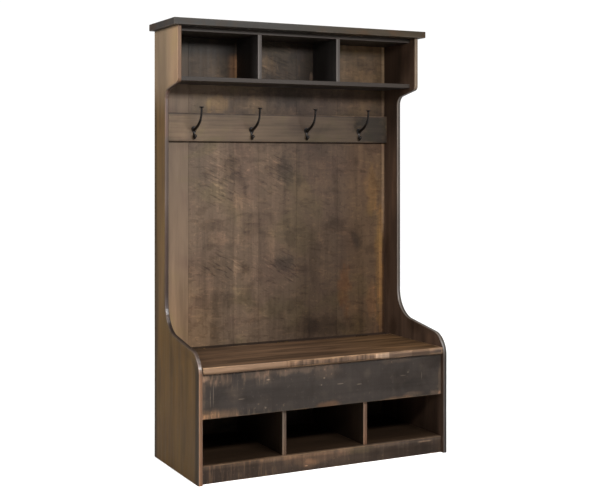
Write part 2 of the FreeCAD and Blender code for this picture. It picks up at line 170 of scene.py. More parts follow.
def make_grain_group():
    """Wood grain with its length along X: broad streaks, narrow bands and fine fibres."""
    graph, given, made = new_group("board_grain", {"Vector": (0, 0, 0)}, ("Streak", "Band", "Fibre"))
    place = given["Vector"]
    streak = graph.noise(graph.stretched(place, (1.3, 13, 13)), 1.0, 4.0, 0.6, 0.5)
    band = graph.noise(graph.stretched(place, (2.6, 62, 62)), 1.0, 3.0, 0.6, 0.2)
    fibre = graph.noise(graph.stretched(place, (12, 320, 320)), 1.0, 2.0, 0.6)
    graph.wire(made, {"Streak": streak, "Band": band, "Fibre": fibre})
    return graph.tree


def make_saw_group():
    """Marks of a round saw on an upright face: broken strokes along arcs about a far centre."""
    inputs = {"Vector": (0, 0, 0), "Centre": (0, 0, 0), "Length": 42.0, "Closeness": 84.0, "Cover": 0.5}
    graph, given, made = new_group("saw_marks", inputs, ("Cut", "Lip"))
    place = given["Vector"]
    off = graph.vector("SUBTRACT", place, given["Centre"])
    across, deep, height = graph.add("ShaderNodeSeparateXYZ", {0: off}).outputs
    side = graph.math("ADD", across, deep)
    radius = graph.math("SQRT", graph.math("ADD", graph.times(side, side), graph.times(height, height)))
    angle = graph.math("ARCTAN2", height, side)
    run = {0: graph.times(angle, given["Length"]), 1: graph.times(radius, given["Closeness"]),
           2: graph.times(deep, 3.0)}
    stroke = graph.noise(graph.add("ShaderNodeCombineXYZ", run).outputs[0], 1.0, 3.0, 0.55)
    cloud = graph.noise(place, 5.0, 3.0, 0.6)
    patch = graph.fade(graph.math("ADD", cloud, given["Cover"]), 0.86, 1.10)
    graph.wire(made, {"Cut": graph.times(graph.fade(stroke, 0.46, 0.34), patch),
                      "Lip": graph.times(graph.fade(stroke, 0.56, 0.68), patch)})
    return graph.tree


def make_box_edge_group():
    """How far a point of a squared board lies from its nearest arris."""
    inputs = {"Vector": (0, 0, 0), "Low": (0, 0, 0), "High": (1, 1, 1)}
    graph, given, made = new_group("board_edge", inputs, ("Edge",))
    inside = graph.vector("MINIMUM", graph.vector("SUBTRACT", given["Vector"], given["Low"]),
                          graph.vector("SUBTRACT", given["High"], given["Vector"]))
    x, y, z = graph.add("ShaderNodeSeparateXYZ", {0: inside}).outputs
    lower = graph.math("MINIMUM", x, y)
    upper = graph.math("MAXIMUM", x, y)
    graph.wire(made, {"Edge": graph.math("MAXIMUM", lower, graph.math("MINIMUM", upper, z))})
    return graph.tree


def make_wear_group():
    """Wear from the distance to an arris: wood rubbed pale at it, and a burnished dark band beside it."""
    inputs = {"Vector": (0, 0, 0), "Edge": 0.1, "Reach": 0.004, "Ragged": 1.0, "Band": 0.03}
    graph, given, made = new_group("edge_wear", inputs, ("Rubbed", "Burnished"))
    place = given["Vector"]
    patch = graph.math("SUBTRACT", graph.noise(place, 9.0, 3.0, 0.6), 0.5)
    chip = graph.math("SUBTRACT", graph.noise(place, 70.0, 2.0), 0.5)
    swing = graph.math("ADD", graph.times(patch, 5.0), graph.times(chip, 1.4))
    share = graph.math("DIVIDE", given["Edge"], given["Reach"])
    worn = graph.math("SUBTRACT", share, graph.times(swing, given["Ragged"]))
    band = graph.math("DIVIDE", given["Edge"], given["Band"])
    band = graph.math("ADD", band, graph.times(patch, 1.2))
    graph.wire(made, {"Rubbed": graph.fade(worn, 1.5, 0.0), "Burnished": graph.fade(band, 1.0, 0.1)})
    return graph.tree


def make_patch_group():
    """A soft-edged patch about a point, ragged along the given grain."""
    inputs = {"Vector": (0, 0, 0), "Centre": (0, 0, 0), "Size": (1, 1, 1), "Grain": (20, 20, 20),
              "Ragged": 0.9}
    graph, given, made = new_group("stain_patch", inputs, ("Patch",))
    place = given["Vector"]
    off = graph.vector("DIVIDE", graph.vector("SUBTRACT", place, given["Centre"]), given["Size"])
    swing = graph.noise(graph.vector("MULTIPLY", place, given["Grain"]), 1.0, 4.0, 0.6)
    swing = graph.times(graph.math("SUBTRACT", swing, 0.5), given["Ragged"])
    far = graph.math("ADD", graph.vector("LENGTH", off), graph.times(swing, 2.0))
    graph.wire(made, {"Patch": graph.fade(far, 1.0, 0.3)})
    return graph.tree


grain_group = make_grain_group()
saw_group = make_saw_group()
box_edge_group = make_box_edge_group()
wear_group = make_wear_group()
patch_group = make_patch_group()

BARE = tone(186, 150, 114)
TAN = tone(158, 126, 96)
DEEP = tone(58, 46, 38)
SOOT = tone(30, 27, 25)
GREY_EDGE = tone(128, 117, 106)

# Shares by which a mark multiplies the red, green and blue of the wood under it
SMOKE = (0.40, 0.43, 0.46)
UMBER = (0.55, 0.52, 0.48)
SHADE = (0.66, 0.64, 0.62)
MAUVE = (0.86, 0.82, 0.86)
OLIVE = (0.98, 1.04, 0.90)
RUST = (1.30, 0.98, 0.72)
OCHRE = (1.62, 1.48, 1.04)
PALE = (1.50, 1.45, 1.38)
TANNED = (2.6, 2.3, 2.0)
SCRAPED = (4.4, 4.3, 4.0)
WARM = (2.2, 1.65, 1.25)
SAW_CUT = (0.52, 0.50, 0.50)
SAW_LIP = (1.50, 1.46, 1.42)
SAW_SLANT = math.radians(27)
SAW_RADIUS = 3.0


def new_material(name):
    """A new material with its graph and its shader."""
    material = bpy.data.materials.new(name)
    material.use_nodes = True
    return material, Graph(material.node_tree), material.node_tree.nodes["Principled BSDF"]


def shades(red, green, blue, spread=0.35):
    """The darkest streak, the body and the palest streak of a stain about one screen colour."""
    body = tone(red, green, blue)
    return scaled(body, 1 - spread), body, scaled(body, 1 + spread)


def scaled(colour, share):
    """A colour made darker or paler."""
    return tuple(channel * share for channel in colour[:3]) + (1.0,)


class Wood(Graph):
    """The material of one board, built up from its grain outwards."""

    def __init__(self, name, box, grain, tones, seed, contrast=1.0, fibre=0.35, band=0.45):
        self.material, _, self.shader = new_material(name)
        super().__init__(self.material.node_tree)
        self.low, self.high = box
        self.tones = tones
        self.seed = seed
        self.stain = seed
        self.contrast = contrast
        self.fibre = fibre
        self.band = band
        self.place = self.add("ShaderNodeTexCoord").outputs["Object"]
        self.parts = self.add("ShaderNodeSeparateXYZ", {0: self.place}).outputs
        self.figure = self.group(grain_group, Vector=self.turned(grain))
        self.rub = None
        self.cut = None
        self.colour = self.grained(tones)

    def turned(self, grain):
        """Object coordinates with the grain's axis first, shifted so that no two boards are alike."""
        order = {index: self.parts[axis] for index, axis in enumerate(GRAIN_ORDER[grain])}
        turned = self.add("ShaderNodeCombineXYZ", order).outputs[0]
        return self.vector("ADD", turned, (self.seed * 1.7, self.seed * 3.1, self.seed * 2.3))

    def grained(self, tones):
        """The board's own grain in three tones."""
        dark, body, pale = tones
        half = 0.16 / self.contrast
        level = self.math("ADD", self.times(self.figure["Streak"], 1 - self.band),
                          self.times(self.figure["Band"], self.band))
        colour = self.mix(self.fade(level, 0.5 - half, 0.5), dark, body)
        colour = self.mix(self.fade(level, 0.5, 0.5 + half), colour, pale)
        fibre = self.fade(self.figure["Fibre"], 0.60, 0.36)
        return self.mix(self.times(fibre, self.fibre), colour, dark)

    def along(self, axis, start, end):
        """0 to 1 between two places on an axis."""
        return self.fade(self.parts[axis], start, end)

    def region(self, *spans):
        """Where a point is inside all of several spans, each with its axis, start and end."""
        return self.times(*[self.along(*span) for span in spans])

    def lay(self, mask, strength, colour):
        """Lays a colour over the board where a mask is, at some strength."""
        self.colour = self.mix(self.times(mask, strength), self.colour, colour)

    def tint(self, mask, strength, share):
        """Multiplies the colour where a mask is, so that the grain still shows."""
        amount = self.times(mask, strength)
        self.colour = self.mix(amount, self.colour, (*share, 1.0), "MULTIPLY")

    def tints(self, table):
        """Several tints, each with its strength, its share and its spans."""
        for strength, share, *spans in table:
            self.tint(self.region(*spans), strength, share)

    def cloud(self, scale, detail, stretch=(1, 1, 1)):
        """Uneven noise, running on across boards that share a stain."""
        shifted = self.vector("ADD", self.place, (self.stain, self.stain * 0.7, self.stain * 1.3))
        return self.noise(self.stretched(shifted, stretch), scale, detail, 0.6, 0.4)

    def zones(self, strength, first, second, scale=4.0):
        """Large soft zones where the stain leans to one tint or to another."""
        cloud = self.cloud(scale, 2.0)
        self.tint(self.fade(cloud, 0.52, 0.66), strength, first)
        self.tint(self.fade(cloud, 0.48, 0.34), strength, second)

    def front(self, tones):
        """Another stain on the face that looks forward."""
        self.lay(self.at_front(), 1.0, self.grained(tones))

    def clouds(self, strength, share, scale, start=0.50, end=0.68, stretch=(1, 1, 1)):
        """Soft uneven clouds where the stain took more or less."""
        self.tint(self.fade(self.cloud(scale, 5.0, stretch), start, end), strength, share)

    def at_front(self):
        """Where the face that looks forward is."""
        return self.along("Y", self.low.y + 0.0014, self.low.y + 0.0004)

    def paint_shade_past_arris(self, where, share):
        """Darkens an edge face away from its left arris, which the light catches: painted shade that leaves
        the arris looking lit.
        """
        past_arris = self.along("X", self.low.x + 0.004, self.low.x + 0.010)
        self.tint(self.times(where, past_arris), 1.0, share)

    def saw(self, strength, cover, where):
        """Slanting strokes of the round saw, where a mask is."""
        lean = Vector((math.sin(SAW_SLANT), 0, math.cos(SAW_SLANT)))
        centre = (self.low + self.high) / 2 - lean * SAW_RADIUS
        marks = self.group(saw_group, Vector=self.place, Centre=centre, Cover=cover)
        self.cut = self.times(marks["Cut"], where)
        self.tint(self.cut, strength, SAW_CUT)
        self.tint(self.times(marks["Lip"], where), strength, SAW_LIP)

    def kerfs(self, strength, axis, dark, pale):
        """Marks of a straight saw across the board."""
        marks = self.group(grain_group, Vector=self.turned(axis))
        self.lay(self.fade(marks["Band"], 0.48, 0.38), strength, dark)
        self.lay(self.fade(marks["Band"], 0.54, 0.64), strength, pale)

    def patch(self, centre, size, share, strength, ragged, grain):
        """One darker, paler or redder patch of half sizes about a centre."""
        inputs = {"Vector": self.place, "Centre": centre, "Size": size, "Grain": grain, "Ragged": ragged}
        self.tint(self.group(patch_group, **inputs)["Patch"], strength, share)

    def front_patch(self, x, z, half_width, half_height, share, strength, grain=(30, 1, 14), ragged=0.9):
        """A patch on a board that looks forward, where it reaches the board."""
        if self.low.x - half_width < x < self.high.x + half_width:
            self.patch((x, 0.0, z), (half_width, 10.0, half_height), share, strength, ragged, grain)

    def edges(self, rubbed, bare=BARE, reach=0.003, ragged=1.0, burnished=0.4, band=0.03, edge=None):
        """Burnished and rubbed arrises."""
        if edge is None:
            edge = self.group(box_edge_group, Vector=self.place, Low=self.low, High=self.high)["Edge"]
        wear = self.group(wear_group, Vector=self.place, Edge=edge, Reach=reach, Band=band, Ragged=ragged)
        self.lay(wear["Burnished"], burnished, SOOT)
        self.rub = self.times(wear["Rubbed"], rubbed)
        worn = self.mix(self.fade(self.figure["Band"], 0.35, 0.65), bare, self.tones[1])
        self.colour = self.mix(self.rub, self.colour, worn)

    def finish(self, roughness=0.5, specular=0.2, coat=None):
        """Feeds the shader with colour, sheen and a sawn surface."""
        sheen = self.math("MULTIPLY_ADD", self.figure["Band"], 0.24, roughness - 0.12)
        if self.rub is not None:
            sheen = self.math("MULTIPLY_ADD", self.rub, 0.12, sheen)
        height = self.math("MULTIPLY_ADD", self.figure["Fibre"], 0.35, self.times(self.figure["Band"], 0.5))
        if self.cut is not None:
            height = self.math("SUBTRACT", height, self.cut)
        bump = self.add("ShaderNodeBump", {"Height": height, "Strength": 0.4, "Distance": 0.0012})
        self.wire(self.shader, {"Base Color": self.colour, "Roughness": sheen,
                                "Specular IOR Level": specular, "Normal": bump.outputs["Normal"]})
        if coat is not None:
            self.wire(self.shader, {"Coat Weight": coat, "Coat Roughness": 0.22})
        return self.material


def metal_material(name, base, worn, metallic, roughness, scale):
    """Metal with tarnish clouds, rubbed brighter in places and slightly uneven."""
    material, graph, shader = new_material(name)
    place = graph.add("ShaderNodeTexCoord").outputs["Object"]
    cloud = graph.noise(place, scale, 4.0, 0.6)
    speck = graph.noise(place, scale * 9, 2.0)
    colour = graph.mix(graph.fade(cloud, 0.45, 0.7), base, worn)
    colour = graph.mix(graph.times(graph.fade(speck, 0.55, 0.7), 0.4), colour, base)
    sheen = graph.math("MULTIPLY_ADD", cloud, 0.3, roughness - 0.15)
    bump = graph.add("ShaderNodeBump", {"Height": speck, "Strength": 0.25, "Distance": 0.0004})
    graph.wire(shader, {"Base Color": colour, "Roughness": sheen, "Metallic": metallic,
                        "Normal": bump.outputs["Normal"]})
    return material


def rubber_material():
    """Dark rubber with a faint bloom."""
    material, graph, shader = new_material("bumper_rubber")
    place = graph.add("ShaderNodeTexCoord").outputs["Object"]
    bloom = graph.noise(place, 240.0, 3.0)
    graph.wire(shader, {"Base Color": graph.mix(bloom, tone(22, 21, 20), tone(52, 49, 46)),
                        "Roughness": graph.math("MULTIPLY_ADD", bloom, 0.2, 0.6)})
    return material


def dress(node, material):
    """Gives a CAD node one material."""
    mesh = nodes[node].data
    mesh.materials.clear()
    mesh.materials.append(material)


def board_wood(node, grain, tones, seed, *figure):
    """Stained wood for one squared CAD board."""
    return Wood(node + "_wood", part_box(node), grain, tones, seed, *figure)


def mesh_of(name, bm):
    """The mesh of a finished bmesh."""
    mesh = bpy.data.meshes.new(name)
    bm.to_mesh(mesh)
    bm.free()
    return mesh


def shown(name, data):
    """A new object in the scene."""
    made = bpy.data.objects.new(name, data)
    bpy.context.scene.collection.objects.link(made)
    return made


def new_piece(name, mesh_builder, body, slot, material, *replaced):
    """A finished bmesh piece on a body, standing for CAD nodes."""
    bm = bmesh.new()
    mesh_builder(bm)
    bmesh.ops.remove_doubles(bm, verts=bm.verts, dist=1e-6)
    bmesh.ops.recalc_face_normals(bm, faces=bm.faces)
    piece = shown(name, mesh_of(name, bm))
    piece.data.materials.append(material)
    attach(piece, body)
    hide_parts(*replaced)
    return piece


def tangent_length(before, corner, after, radius):
    """How far from a corner an arc of that radius starts."""
    turn = (corner - before).angle(after - corner)
    return radius * math.tan(turn / 2)


def front_distance(place, outline):
    """Distance from a point of an end's side to its shaped front outline."""
    best = 1.0
    for start, end in outline:
        nearest, share = intersect_point_line(place, start, end)
        nearest = start if share < 0 else end if share > 1 else nearest
        best = min(best, (place - nearest).length)
    return best


def only(parts, kind):
    """Those results of a bmesh operator that are of one kind."""
    return [part for part in parts if isinstance(part, kind)]


def cut_across(bm, place, normal):
    """Cuts the faces that a plane passes through."""
    everything = bm.faces[:] + bm.edges[:] + bm.verts[:]
    bmesh.ops.bisect_plane(bm, geom=everything, plane_co=place, plane_no=normal)


def round_edges(bm, edges, offset, steps):
    """Rounds edges in some steps."""
    bmesh.ops.bevel(bm, geom=edges, offset=offset, offset_type="OFFSET", affect="EDGES", segments=steps,
                    profile=0.5, material=-1)


def build_end_panel(bm, side):
    """One shaped end, rabbeted for the back boards, with rounded front edges and its edge distances."""
    low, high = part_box("left_end_panel" if side < 0 else "right_end_panel")
    outer = low.x if side < 0 else high.x
    thickness = high.x - low.x
    rear, front, top = high.y, low.y, high.z
    upper_front = rear - upper_depth
    middle_front = rear - middle_depth
    corners = [
        (rear, 0, 0), (rear, top, 0), (upper_front, top, 0),
        (upper_front, shelf_bottom - bracket_front_drop, bracket_front_radius),
        (middle_front, shelf_bottom - bracket_rear_drop, bracket_rear_radius),
        (middle_front, seat_top + arm_rear_rise, arm_rear_radius),
        (front, seat_top + arm_front_rise, arm_front_radius),
        (front, 0, 0),
    ]
    points = [Vector((outer, y, z)) for y, z, _ in corners]
    bm.faces.new([bm.verts.new(point) for point in points])
    cut_across(bm, (0, back_face, 0), (0, 1, 0))

    def pull(faces, distance):
        pulled = bmesh.ops.extrude_face_region(bm, geom=faces)["geom"]
        moved = only(pulled, bmesh.types.BMVert)
        bmesh.ops.translate(bm, verts=moved, vec=(-side * distance, 0, 0))
        return only(pulled, bmesh.types.BMFace)

    inner_faces = pull(bm.faces[:], thickness - rabbet_width)
    before_back = [face for face in inner_faces if face.calc_center_median().y < back_face]
    pull(before_back, rabbet_width)
    bmesh.ops.delete(bm, geom=before_back, context="FACES_ONLY")
    bmesh.ops.recalc_face_normals(bm, faces=bm.faces)
    bmesh.ops.dissolve_limit(bm, angle_limit=math.radians(1), verts=bm.verts, edges=bm.edges)

    for index, (_, _, radius) in enumerate(corners):
        if radius:
            corner = points[index]
            reach = tangent_length(points[index - 1], corner, points[index + 1], radius)
            at_corner = [edge for edge in bm.edges
                         if all((vert.co.yz - corner.yz).length < touch for vert in edge.verts)]
            round_edges(bm, at_corner, reach, corner_steps)

    sides = [face for face in bm.faces if abs(face.normal.x) > 0.99]
    outline = []
    arrises = []
    for face in sides:
        for edge in face.edges:
            other = [linked for linked in edge.link_faces if linked is not face][0]
            first, second = [vert.co for vert in edge.verts]
            at_back = min(first.y, second.y) > back_face - touch
            level = abs(first.z - second.z) < touch
            at_rim = level and (first.z < touch or first.z > top - touch)
            if abs(other.normal.x) < 0.1 and not at_back and not at_rim:
                arrises.append(edge)
                outline.append(tuple(Vector((0, *vert.co.yz)) for vert in edge.verts))
    round_edges(bm, arrises, end_edge_round, edge_steps)
    big = [face for face in bm.faces if abs(face.normal.x) > 0.99 and face.calc_area() > 0.1]
    bmesh.ops.inset_region(bm, faces=big, thickness=arris_band, use_even_offset=True)
    for axis, start, end in ((1, front, rear), (2, 0.0, top)):
        count = int((end - start) / panel_cut_step)
        for cut in range(1, count):
            normal = Vector((0, 0, 0))
            normal[axis] = 1
            cut_across(bm, normal * (start + (end - start) * cut / count), normal)

    layer = bm.verts.layers.float.new("edge_distance")
    share = bm.verts.layers.float.new("front_share")
    for vert in bm.verts:
        from_side = min(abs(vert.co.x - outer), abs(vert.co.x - outer + side * thickness))
        in_plan = front_distance(Vector((0, *vert.co.yz)), outline)
        vert[layer] = max(from_side, in_plan) if min(from_side, in_plan) > touch else from_side + in_plan
        vert[share] = from_side / (from_side + in_plan + 1e-6)


def bar_along(bm, points, radii, sides=16):
    """A closed round bar through points, with its own radius at each."""
    def ring_frame(index):
        ahead = points[min(index + 1, len(points) - 1)] - points[max(index - 1, 0)]
        turn = ahead.to_track_quat("Z", "Y").to_matrix().to_4x4()
        return Matrix.Translation(points[index]) @ turn @ Matrix.Diagonal((radii[index],) * 3 + (1,))

    ring = bmesh.ops.create_circle(bm, cap_ends=True, segments=sides, radius=1.0, matrix=ring_frame(0))
    face = ring["verts"][0].link_faces[0]
    for index in range(1, len(points)):
        step = ring_frame(index) @ ring_frame(index - 1).inverted()
        pulled = bmesh.ops.extrude_face_region(bm, geom=[face])["geom"]
        face = only(pulled, bmesh.types.BMFace)[0]
        bmesh.ops.transform(bm, verts=face.verts, matrix=step)


def bezier_run(knots, steps):
    """Points along bezier spans, from (start, first handle, second handle, end) knots."""
    points = []
    for start, first, second, end in knots:
        points += [Vector(point) for point in interpolate_bezier(start, first, second, end, steps)][:-1]
    return points + [Vector(knots[-1][3])]


def hook_parts(bm):
    """A double hook about the middle of its plate: plate, tall arm with a cap, short curl with a ball."""
    half_width = hook_plate_width / 2
    top = hook_plate_height / 2 - half_width
    foot = hook_foot_radius - hook_plate_height / 2
    plate_rings = ((top, half_width), (top * 0.2, half_width * 0.93), (foot * 0.45, half_width * 0.68),
                   (foot, hook_foot_radius))
    for z, radius in plate_rings:
        disc = bmesh.ops.create_cone(bm, cap_ends=True, segments=40, radius1=radius, radius2=radius * 0.86,
                                     depth=hook_plate_thickness)["verts"]
        bmesh.ops.rotate(bm, verts=disc, matrix=Matrix.Rotation(math.pi / 2, 3, "X"))
        bmesh.ops.translate(bm, verts=disc, vec=(0, -hook_plate_thickness / 2, z))
    arm_bend = (0, -0.077, 0.041)
    arm_tip = (0, -hook_reach, hook_rise - 0.002)
    arm = bezier_run([((0, 0, 0), (0, -0.022, 0.007), (0, -0.056, 0.017), arm_bend),
                      (arm_bend, (0, -0.088, 0.054), (0, -0.094, 0.072), arm_tip)], steps=14)
    count = len(arm) - 1
    bar_along(bm, arm, [0.0080 - 0.0034 * min(1.0, 1.4 * index / count) for index in range(count + 1)])
    cap_profile = ((0.0045, -0.0075), (0.008, -0.0056), (0.0112, -0.0036), (0.0112, -0.0014), (0.008, 0.0))
    bar_along(bm, [Vector((0, -hook_reach, hook_rise + rise)) for _, rise in cap_profile],
              [radius for radius, _ in cap_profile], 28)
    curl_low = (0, -0.008, -0.0385)
    curl_tip = (0, -0.015, -0.028)
    curl = bezier_run([((0, 0, -0.008), (0, -0.002, -0.020), (0, -0.001, -0.036), curl_low),
                       (curl_low, (0, -0.013, -0.040), (0, -0.016, -0.036), curl_tip)], steps=10)
    bar_along(bm, curl, [0.0052 - 0.0014 * index / (len(curl) - 1) for index in range(len(curl))])
    ball = bmesh.ops.create_icosphere(bm, subdivisions=3, radius=0.0085)["verts"]
    bmesh.ops.translate(bm, verts=ball, vec=curl_tip)


def cast_mesh():
    """The hook's parts run together into one casting with soft corners."""
    bm = bmesh.new()
    hook_parts(bm)
    bmesh.ops.recalc_face_normals(bm, faces=bm.faces)
    pattern = shown("hook_pattern", mesh_of("hook_parts", bm))
    remesh = pattern.modifiers.new("cast", "REMESH")
    remesh.mode = "VOXEL"
    remesh.voxel_size = hook_voxel
    remesh.use_smooth_shade = True
    soften = pattern.modifiers.new("soften", "SMOOTH")
    soften.factor = 0.5
    soften.iterations = 6
    graph = bpy.context.evaluated_depsgraph_get()
    cast = bpy.data.meshes.new_from_object(pattern.evaluated_get(graph))
    bpy.data.objects.remove(pattern)
    return cast


def add_hooks(iron):
    """The four cast hooks, each where its solid is."""
    cast = cast_mesh()
    for number in range(1, 5):
        node = "coat_hook_%d" % number
        low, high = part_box(node)
        place = Vector(((low.x + high.x) / 2, high.y, high.z - hook_rise))

        def copy_here(bm):
            bm.from_mesh(cast)
            bmesh.ops.translate(bm, verts=bm.verts, vec=place)

        piece = new_piece("cast_hook_%d" % number, copy_here, "case", "hook_iron", iron, node)
        for polygon in piece.data.polygons:
            polygon.use_smooth = True


def dress_top():
    """Cornice, ceiling, upper shelf and upper dividers."""
    wood = board_wood("cornice_board", "x", shades(44, 41, 37, 0.25), 1.0, 1.3)
    wood.tint(wood.along("X", -0.15, 0.3), 0.8, (1.34, 1.02, 0.58))
    # Painted light on the cornice's left end face
    wood.tint(wood.along("X", wood.low.x + 0.004, wood.low.x + 0.001), 1.0, (1.6, 1.6, 1.7))
    wood.clouds(0.8, RUST, 5.0, 0.46, 0.58)
    wood.edges(0.3, GREY_EDGE, burnished=0.0, reach=0.002)
    dress("cornice_board", wood.finish())
    for number, node in enumerate(("cubby_ceiling_board", "upper_shelf")):
        wood = board_wood(node, "x", shades(40, 33, 28), 2.0 + number)
        wood.front(shades(49, 42, 37, 0.25))
        dress(node, wood.finish())
    for number, node in enumerate(("upper_divider_left", "upper_divider_right")):
        wood = board_wood(node, "z", shades(48, 44, 42), 4.0 + number)
        wood.front(shades(85, 79, 75, 0.25))
        # Painted shade on the front edge away from its lit left arris
        wood.paint_shade_past_arris(wood.at_front(), (0.55, 0.52, 0.5))
        dress(node, wood.finish())


# Patches on boards that look forward: x, z, half width, half height, share and strength
BACK_PATCHES = (
    (0.05, 1.64, 0.15, 0.08, SMOKE, 0.8), (0.045, 1.29, 0.06, 0.1, SMOKE, 0.6),
    (-0.245, 1.333, 0.065, 0.034, UMBER, 0.6), (-0.13, 1.02, 0.08, 0.06, UMBER, 0.5),
    (0.2, 1.375, 0.09, 0.07, SMOKE, 0.4), (0.325, 1.19, 0.03, 0.2, UMBER, 0.5),
    (0.318, 1.024, 0.07, 0.06, UMBER, 0.6), (0.431, 0.95, 0.04, 0.09, SMOKE, 0.7),
    (0.43, 1.335, 0.03, 0.035, UMBER, 0.7), (0.52, 1.2, 0.06, 0.15, OCHRE, 0.75),
    (0.56, 0.8, 0.034, 0.46, OCHRE, 0.9), (0.045, 0.85, 0.07, 0.06, SMOKE, 0.7),
    (0.25, 0.535, 0.26, 0.06, UMBER, 0.8), (0.192, 0.85, 0.04, 0.2, UMBER, 0.6),
    (0.359, 0.71, 0.05, 0.14, RUST, 0.9), (-0.334, 1.041, 0.09, 0.035, UMBER, 0.6),
    (-0.325, 0.68, 0.09, 0.07, SHADE, 0.8), (-0.319, 0.85, 0.1, 0.07, UMBER, 0.5),
    (-0.179, 1.152, 0.08, 0.06, PALE, 0.5), (0.137, 1.19, 0.05, 0.065, PALE, 0.5),
    (-0.311, 0.973, 0.06, 0.036, PALE, 0.6), (-0.179, 0.969, 0.055, 0.034, PALE, 0.5),
    (-0.032, 0.946, 0.028, 0.11, PALE, 0.6), (0.069, 0.962, 0.04, 0.085, UMBER, 0.6),
    (-0.346, 0.942, 0.06, 0.028, UMBER, 0.6), (-0.209, 0.836, 0.035, 0.045, PALE, 0.6),
    (-0.099, 0.651, 0.045, 0.065, UMBER, 0.5), (-0.165, 0.835, 0.032, 0.036, UMBER, 0.9),
    # The next four patches paint light and shade in the upper cubbies: painted light in the middle and left
    # ones, painted shade above painted light in the right one
    (-0.05, 1.79, 0.08, 0.06, (2.6, 2.6, 2.3), 0.9), (-0.31, 1.74, 0.06, 0.05, PALE, 1.0),
    (0.47, 1.8, 0.06, 0.06, SHADE, 0.7), (0.5, 1.74, 0.08, 0.04, PALE, 0.5),
    (0.52, 1.04, 0.05, 0.07, SHADE, 0.3), (0.52, 0.65, 0.05, 0.11, WARM, 0.3),
    (-0.3, 1.6, 0.08, 0.05, OCHRE, 0.7), (-0.12, 1.6, 0.12, 0.05, OCHRE, 0.3),
    (-0.4, 1.6, 0.03, 0.06, SHADE, 0.4), (0.45, 1.6, 0.13, 0.05, PALE, 0.4),
    # Painted shade under the middle cubby's ceiling, then a painted highlight on the back at its right
    # corner
    (0.09, 1.835, 0.06, 0.04, UMBER, 0.9), (0.182, 1.735, 0.012, 0.03, (4.6, 4.8, 5.2), 1.0),
    # The patch at (0.43, 1.77) is painted light low in the right cubby
    (0.116, 1.765, 0.007, 0.05, PALE, 1.0), (0.43, 1.77, 0.12, 0.04, PALE, 0.4),
)
RAIL_PATCHES = (
    (0.52, 1.49, 0.14, 0.14, SMOKE, 1.0), (-0.5, 1.49, 0.07, 0.1, PALE, 0.4),
    (-0.28, 1.49, 0.13, 0.1, SHADE, 0.35),
)

# Zones with saw marks: x, z, half width and half height
SAWN_ZONES = (
    (-0.28, 1.24, 0.19, 0.2), (0.0, 0.81, 0.18, 0.16), (-0.01, 1.27, 0.15, 0.16), (-0.29, 0.85, 0.15, 0.13),
)


def sawn_zones(wood):
    """Where the back shows the saw: a little below the rail, more in a few zones and the middle cubby."""
    mask = 0.15
    for x, z, half_width, half_height in SAWN_ZONES:
        if wood.low.x - half_width < x < wood.high.x + half_width:
            zone = wood.group(patch_group, Vector=wood.place, Centre=(x, 0.0, z), Ragged=0.5,
                              Size=(half_width, 10.0, half_height), Grain=(9, 1, 9))["Patch"]
            mask = wood.math("MAXIMUM", mask, zone)
    below = wood.times(wood.along("Z", 1.46, 1.42), mask)
    middle_cubby = wood.region(("Z", 1.7, 1.72), ("X", -0.19, -0.17), ("X", 0.12, 0.06))
    return wood.math("MAXIMUM", below, middle_cubby)


# Spans of the back: an axis, where a tint begins and where it is full
LEFT_BOARDS = ("X", -0.24, -0.4)
LOW_MARGIN = ("Z", 1.06, 0.92)
HIGH_MARGIN = ("Z", 0.92, 1.06)
CUBBIES = ("Z", 1.69, 1.706)
LEFT_CUBBY = ("X", -0.195, -0.205)
RIGHT_CUBBY = ("X", 0.2, 0.22)

